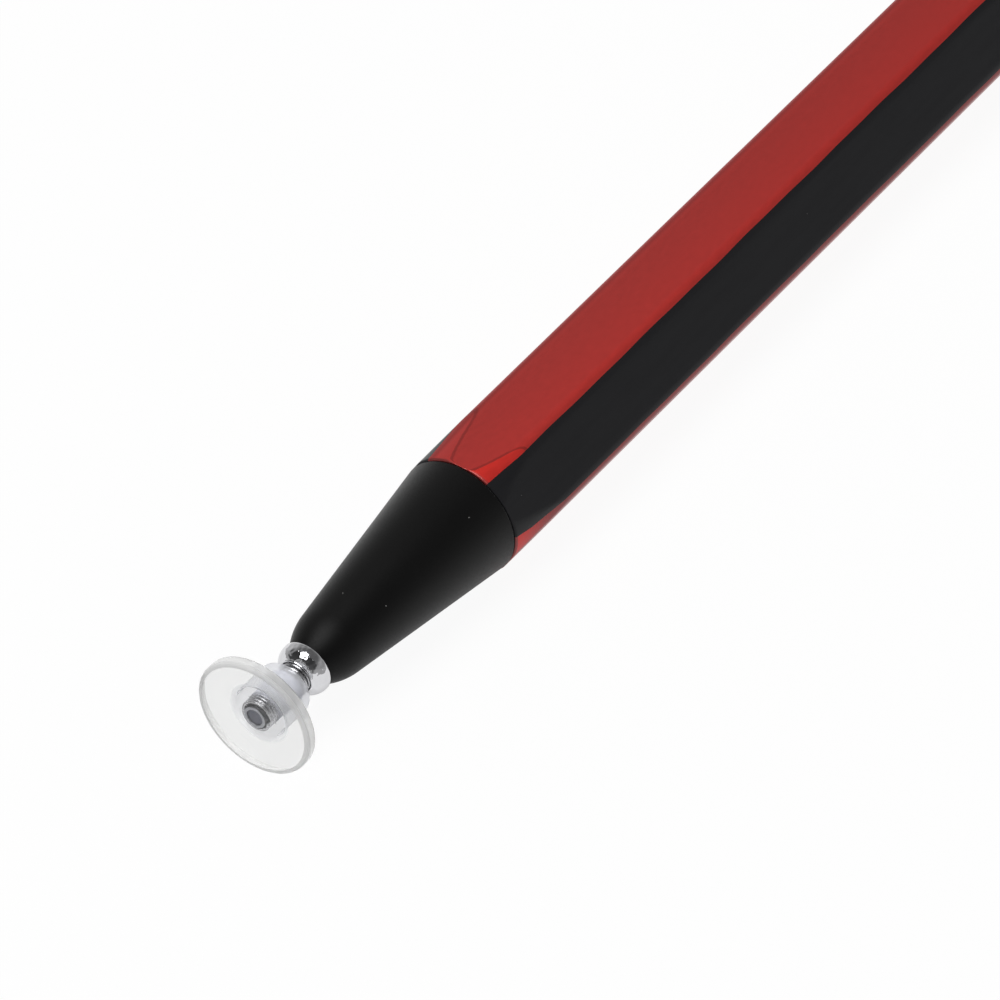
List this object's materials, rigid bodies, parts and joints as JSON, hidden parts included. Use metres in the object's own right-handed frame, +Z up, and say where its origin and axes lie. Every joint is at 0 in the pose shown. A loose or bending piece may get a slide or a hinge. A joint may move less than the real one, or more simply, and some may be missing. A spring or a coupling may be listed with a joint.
{
  "type": "stylus pen",
  "caption": "Six-sided stylus pen with a tapered nose and a clear touch disc that tilts on a coil spring neck.",
  "frame": {"origin": "under the middle of the pen's length, on the surface that its lower flat lies on", "axes": "+X along the pen from the touch disc to the end cap, +Z up through the red top face"},
  "size_m": [0.1382, 0.0088, 0.008],
  "materials": {
    "clear_plastic": "clear",
    "steel": "satin",
    "spring_steel": "satin",
    "chrome": "polished",
    "brass": "satin",
    "matte_black": "matte",
    "gloss_black": "gloss",
    "red_film": "gloss"
  },
  "bodies": {
    "pen": {"nib_bead": "chrome", "nose_bush": "brass", "nose_cone": "matte_black", "front_coupler": "brass", "barrel": "gloss_black", "red_strip_top": "red_film", "red_strip_near": "red_film", "red_strip_far": "red_film", "end_cap": "matte_black"},
    "neck": {"tip_spring": "spring_steel"},
    "tip": {"tip_disc": "clear_plastic", "contact_pin": "steel"}
  },
  "joints": [
    {"name": "tip_nod", "type": "hinge", "parent": "pen", "child": "neck", "pos_m": [-0.06504, 0, 0.004], "axis": [0, 1, 0], "range_deg": [-20, 20], "stiffness_Nm_per_rad": 0.0015, "deforming": ["tip_spring"]},
    {"name": "tip_sway", "type": "hinge", "parent": "neck", "child": "tip", "pos_m": [-0.06541, 0, 0.004], "axis": [0, 0, 1], "range_deg": [-20, 20], "stiffness_Nm_per_rad": 0.0015, "deforming": ["tip_spring"]}
  ]
}
